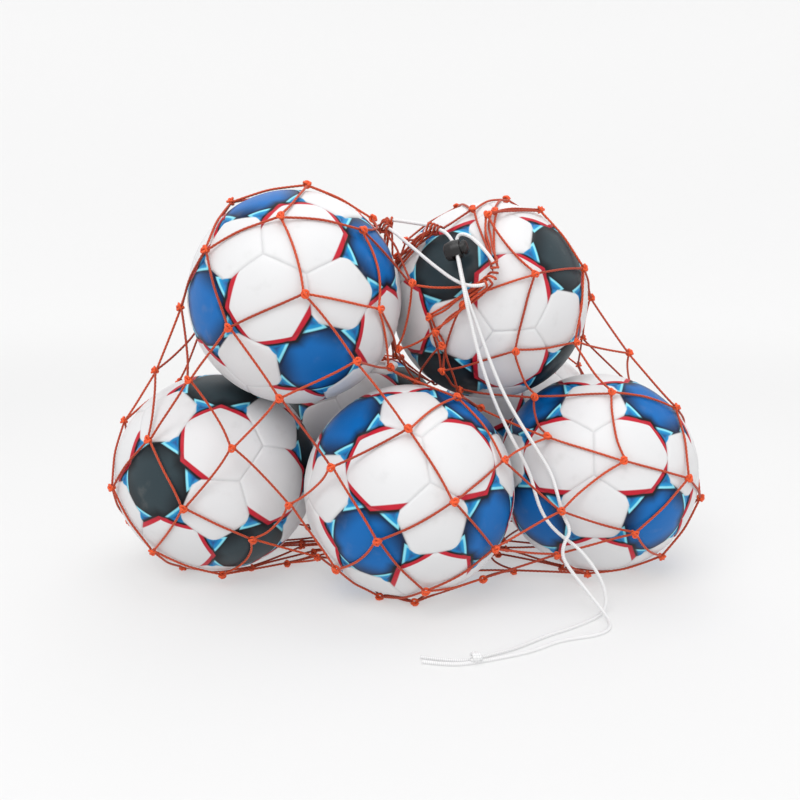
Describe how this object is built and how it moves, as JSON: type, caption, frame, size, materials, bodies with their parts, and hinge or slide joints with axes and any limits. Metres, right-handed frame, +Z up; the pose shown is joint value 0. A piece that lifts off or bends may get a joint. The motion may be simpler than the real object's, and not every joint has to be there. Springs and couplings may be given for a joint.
{
  "type": "mesh ball bag",
  "caption": "Knotted mesh carry bag drawn shut by a cord with a push-button cord lock, shown full of panelled footballs.",
  "frame": {"origin": "on the floor under the middle of the filled bag, the free ends of the drawstring left out", "axes": "+X along the row of three balls in front, +Y from the front to the back, +Z up"},
  "size_m": [0.6494, 0.5557, 0.4239],
  "materials": {
    "twine": "matt twisted twine",
    "cord": "matt braided cord",
    "lock_plastic": "satin moulded",
    "spring_steel": "bare spring wire",
    "ball_cover": "satin panels",
    "bladder": "matt rubber",
    "valve_rubber": "matt rubber"
  },
  "bodies": {
    "net_and_cord": {"net_knots": "twine", "net_course_01": "twine", "net_course_02": "twine", "net_course_03": "twine", "net_course_04": "twine", "net_course_05": "twine", "net_course_06": "twine", "net_course_07": "twine", "net_course_08": "twine", "net_course_09": "twine", "net_course_10": "twine", "net_course_11": "twine", "net_course_12": "twine", "net_course_13": "twine", "net_course_14": "twine", "base_cord": "twine", "drawstring_loop": "cord", "drawstring_end_a": "cord", "drawstring_end_b": "cord", "drawstring_end_knot": "cord"},
    "cord_lock": {"cord_lock_housing": "lock_plastic", "cord_lock_spring": "spring_steel"},
    "cord_lock_button": {"cord_lock_button": "lock_plastic"},
    "ball_front_middle": {"ball_front_middle_cover": "ball_cover", "ball_front_middle_bladder": "bladder", "ball_front_middle_valve": "valve_rubber"},
    "ball_front_left": {"ball_front_left_cover": "ball_cover", "ball_front_left_bladder": "bladder", "ball_front_left_valve": "valve_rubber"},
    "ball_front_right": {"ball_front_right_cover": "ball_cover", "ball_front_right_bladder": "bladder", "ball_front_right_valve": "valve_rubber"},
    "ball_back_left": {"ball_back_left_cover": "ball_cover", "ball_back_left_bladder": "bladder", "ball_back_left_valve": "valve_rubber"},
    "ball_back_right": {"ball_back_right_cover": "ball_cover", "ball_back_right_bladder": "bladder", "ball_back_right_valve": "valve_rubber"},
    "ball_top_left": {"ball_top_left_cover": "ball_cover", "ball_top_left_bladder": "bladder", "ball_top_left_valve": "valve_rubber"},
    "ball_top_right": {"ball_top_right_cover": "ball_cover", "ball_top_right_bladder": "bladder", "ball_top_right_valve": "valve_rubber"}
  },
  "joints": [
    {"name": "cord_lock_slide", "type": "slide", "parent": "net_and_cord", "child": "cord_lock", "axis": [0.138, -0.546, -0.8264], "range_m": [0, 0.012]},
    {"name": "cord_lock_press", "type": "slide", "parent": "cord_lock", "child": "cord_lock_button", "axis": [-0.9278, 0.2208, -0.3008], "range_m": [0, 0.0025], "stiffness_N_per_m": 1500, "springref_m": -0.004, "deforming": ["cord_lock_spring"]},
    {"name": "ball_front_middle_turn", "type": "hinge", "parent": "net_and_cord", "child": "ball_front_middle", "pos_m": [0.002, -0.1392, 0.11], "axis": [0, 0, 1], "continuous": true},
    {"name": "ball_front_left_turn", "type": "hinge", "parent": "net_and_cord", "child": "ball_front_left", "pos_m": [-0.2133, -0.0764, 0.11], "axis": [0, 0, 1], "continuous": true},
    {"name": "ball_front_right_turn", "type": "hinge", "parent": "net_and_cord", "child": "ball_front_right", "pos_m": [0.2133, -0.0744, 0.11], "axis": [0, 0, 1], "continuous": true},
    {"name": "ball_back_left_turn", "type": "hinge", "parent": "net_and_cord", "child": "ball_back_left", "pos_m": [-0.0562, 0.079, 0.11], "axis": [0, 0, 1], "continuous": true},
    {"name": "ball_back_right_turn", "type": "hinge", "parent": "net_and_cord", "child": "ball_back_right", "pos_m": [0.1565, 0.1392, 0.11], "axis": [0, 0, 1], "continuous": true},
    {"name": "ball_top_left_turn", "type": "hinge", "parent": "net_and_cord", "child": "ball_top_left", "pos_m": [-0.1162, -0.1033, 0.3067], "axis": [0, 0, 1], "continuous": true},
    {"name": "ball_top_right_turn", "type": "hinge", "parent": "net_and_cord", "child": "ball_top_right", "pos_m": [0.0926, -0.0316, 0.2969], "axis": [0, 0, 1], "continuous": true}
  ]
}
